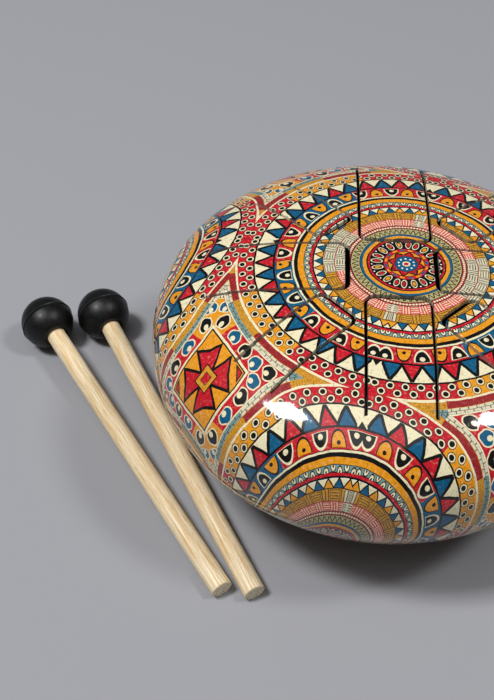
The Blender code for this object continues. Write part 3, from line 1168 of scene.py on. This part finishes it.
# The rings of the border round the bowl, in millimetres past where it starts, and its two patterned rings.
BORDER_RINGS = (
    (0.0, BLACK), (0.7, CREAM), (1.5, RED), (2.6, BLACK), (3.2, CREAM), (11.2, BLACK), (11.9, ORANGE),
    (18.0, BLACK), (18.7, CREAM), (19.5, DARK_RED), (20.6, BLACK),
)
BORDER_TRIANGLES = (BORDER_ARC + 3.2, BORDER_ARC + 11.2)
BORDER_DOTS = BORDER_ARC + 14.9
BORDER_REACH = 60


def bowl_print():
    """The same print, ending in a border round the drum's own axis above a plain black base."""
    g = Graph("printed_bowl")
    draw_print(g)
    x, y = g.split(g.attribute("map_place"))
    arc = g.length(x, y)
    bearing = g.times(g.math("ARCTAN2", y, x), 180 / pi)
    stops = tuple((BORDER_ARC + start, colour) for start, colour in BORDER_RINGS)
    border = g.steps(arc, BORDER_ARC, BORDER_ARC + BORDER_REACH, stops)
    g.lay(border, g.more(arc, BORDER_ARC))
    triangles(g, arc, bearing, BORDER_TRIANGLES, 6.0, RED, BLUE, 0.11)
    place, _ = g.cells(bearing, 5.0)
    dot = g.length(g.times(place, 6.6), g.minus(arc, BORDER_DOTS))
    g.fills(dot, ((1.75, CREAM), (1.1, BLACK)))
    return lacquer(g)


def raw_steel():
    """The dark, lacquered steel of the inside."""
    g = Graph("dark_steel")
    cloud = g.noise(g.attribute("map_place"), 0.4, 4.0, 0.6)
    colour = g.paint(cloud, linear(22, 22, 24), linear(58, 56, 54))
    roughness = g.span(cloud, 0.3, 0.7, 0.42, 0.62)
    return g.finished({"Base Color": colour, "Roughness": roughness, "Metallic": 0.6})


def bamboo():
    """Straw-coloured wood with long orange and brown streaks."""
    g = Graph("bamboo")
    place = g.attribute("own_place")
    broad = g.noise(g.vector("MULTIPLY", place, (1.0, 1.0, 0.03)), 0.55, 3.0, 0.6)
    fine = g.noise(g.vector("MULTIPLY", place, (1.0, 1.0, 0.018)), 2.6, 3.0, 0.7)
    colour = g.paint(g.span(broad, 0.36, 0.66), linear(222, 198, 156), linear(246, 232, 200))
    colour = g.paint(g.span(fine, 0.51, 0.60, 0.0, 0.78), colour, linear(206, 156, 80))
    colour = g.paint(g.span(fine, 0.44, 0.36, 0.0, 0.6), colour, linear(248, 238, 214))
    specks = g.noise(g.vector("MULTIPLY", place, (1.0, 1.0, 0.12)), 3.4, 2.0, 0.5)
    colour = g.paint(g.span(specks, 0.66, 0.72, 0.0, 0.5), colour, linear(140, 86, 40))
    roughness = g.span(fine, 0.3, 0.7, 0.42, 0.6)
    return g.finished({"Base Color": colour, "Roughness": roughness}, fine, 0.5)


def bamboo_end():
    """Sawn end grain: bundles of fibre as dark dots in greyish wood."""
    g = Graph("bamboo_end_grain")
    place = g.attribute("own_place")
    cells = g.new("ShaderNodeTexVoronoi")
    g.feed(cells.inputs["Vector"], g.vector("MULTIPLY", place, (1.0, 1.0, 0.0)))
    g.feed(cells.inputs["Scale"], 1.15)
    g.feed(cells.inputs["Randomness"], 0.8)
    dots = g.less(cells.outputs["Distance"], 0.36)
    cloud = g.noise(place, 0.6, 3.0, 0.6)
    colour = g.paint(cloud, linear(206, 190, 156), linear(246, 236, 208))
    colour = g.paint(g.both(dots, 0.75), colour, linear(104, 82, 56))
    return g.finished({"Base Color": colour, "Roughness": 0.75}, cells.outputs["Distance"], 0.6)


def rubber(name, colour, dust, roughness):
    """Moulded rubber: near-black, faintly blotched and dusted, with a fine even skin."""
    g = Graph(name)
    place = g.attribute("own_place")
    cloud = g.noise(place, 0.35, 4.0, 0.65)
    inputs = {
        "Base Color": g.paint(g.span(cloud, 0.40, 0.75, 0.0, 0.6), colour, dust),
        "Roughness": g.span(cloud, 0.3, 0.7, roughness - 0.06, roughness + 0.08),
        "Specular IOR Level": 0.36,
    }
    return g.finished(inputs, g.noise(place, 1.6, 3.0, 0.6), 0.25, 0.00015)


# ---------------------------------------------------------------- the object


FOOT_STEPS = 48
HANDLE_STEPS = 40
HEAD_STEPS = 72
# Below this height from its butt a handle shows its end grain.
END_GRAIN = 0.00005


def place_piece(piece, body, slot, *nodes):
    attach(piece, body)
    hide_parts(*nodes)


def build_drum():
    dome, steel, cut = dome_print(), raw_steel(), cut_print_with_painted_light()
    place_piece(add_top_shell([dome, steel, cut]), "drum", "printed_steel", "top_shell")
    place_piece(add_bottom_shell([bowl_print(), steel]), "drum", "printed_steel", "bottom_shell")
    for tongue in TONGUES:
        place_piece(add_tongue(*tongue, [dome, steel, cut]), tongue[0], "printed_steel", tongue[0])
    skin = rubber("foot_rubber", linear(22, 22, 23), linear(52, 51, 49), 0.62)
    for number, (x, y) in enumerate(foot_places(), 1):
        name = f"rubber_foot_{number}"
        foot = turned_piece(name + "_moulded", foot_profile(), FOOT_STEPS, [skin])
        foot.data.transform(Matrix.Translation((AXIS_X + x, y, 0)))
        place_piece(foot, "drum", "foot_rubber", name)


def wood_slot(height):
    return int(height < END_GRAIN)


def build_mallets():
    wood = [bamboo(), bamboo_end()]
    skin = rubber("head_rubber", linear(4, 5, 6), linear(17, 18, 21), 0.42)
    for name, butt, bearing in MALLETS:
        matrix = mallet_matrix(butt, bearing)
        handle = turned_piece(name + "_dowel", handle_profile(), HANDLE_STEPS, wood, wood_slot, matrix)
        place_piece(handle, name, "bamboo", name + "_handle")
        head = turned_piece(name + "_ball", head_profile(), HEAD_STEPS, [skin], None, matrix)
        place_piece(head, name, "head_rubber", name + "_head")


# ---------------------------------------------------------------- studio

CAMERA_PLACE = (AXIS_X - 0.06158, -0.34151, 0.41271)
CAMERA_LENS = 54.0
CAMERA_SENSOR = 36.0
# The camera looks down by 46.26 degrees.
CAMERA_TILT = radians(90 - 46.26)


def add_camera():
    data = bpy.data.cameras.new("camera")
    data.lens = CAMERA_LENS
    data.sensor_width = CAMERA_SENSOR
    camera = linked("camera", data)
    camera.location = CAMERA_PLACE
    camera.rotation_euler = (CAMERA_TILT, 0, 0)
    bpy.context.scene.camera = camera


LIGHT_TARGET = Vector((AXIS_X, -0.05, 0.09))
# name, direction from the target in shares of the distance, power in watts, width and depth
SOFTBOXES = (
    ("softbox_left", (-0.48, -0.11, 0.95), 56.0, (0.45, 0.58)),
    ("softbox_right", (0.57, -0.09, 0.89), 23.0, (0.36, 0.42)),
)
LIGHT_DISTANCE = 2.5
# A weak, wide light from nearly overhead, so that the floor stays pale far from the softboxes.
FILL_STRENGTH = 0.45
FILL_SPREAD = radians(40)
FILL_TILT = (radians(12), radians(-6), 0)
FLOOR_REACH = 6.0
FLOOR_COLOUR = linear(150, 151, 156)
SKY_COLOUR = (0.78, 0.79, 0.81, 1)
SKY_STRENGTH = 0.13


def add_softbox(name, direction, power, size):
    data = bpy.data.lights.new(name, "AREA")
    data.shape = "RECTANGLE"
    data.size, data.size_y = size
    data.energy = power
    light = linked(name, data)
    light.location = LIGHT_TARGET + Vector(direction) * LIGHT_DISTANCE
    light.rotation_euler = (LIGHT_TARGET - light.location).to_track_quat("-Z", "Y").to_euler()


def add_fill():
    data = bpy.data.lights.new("fill", "SUN")
    data.energy = FILL_STRENGTH
    data.angle = FILL_SPREAD
    linked("fill", data).rotation_euler = FILL_TILT


def add_studio():
    mesh = bpy.data.meshes.new("floor")
    corners = [(x * FLOOR_REACH, y * FLOOR_REACH, 0) for x, y in ((-1, -1), (1, -1), (1, 1), (-1, 1))]
    mesh.from_pydata(corners, [], [(0, 1, 2, 3)])
    mesh.materials.append(Graph("studio_paper").finished({"Base Color": FLOOR_COLOUR, "Roughness": 0.9}))
    floor = linked("floor", mesh)
    for softbox in SOFTBOXES:
        add_softbox(*softbox)
    add_fill()
    world = bpy.data.worlds.new("studio")
    world.use_nodes = True
    sky = world.node_tree.nodes["Background"]
    sky.inputs[0].default_value = SKY_COLOUR
    sky.inputs[1].default_value = SKY_STRENGTH
    bpy.context.scene.world = world
    bpy.context.scene.view_settings.view_transform = "Standard"


build_drum()
build_mallets()
add_camera()
add_studio()
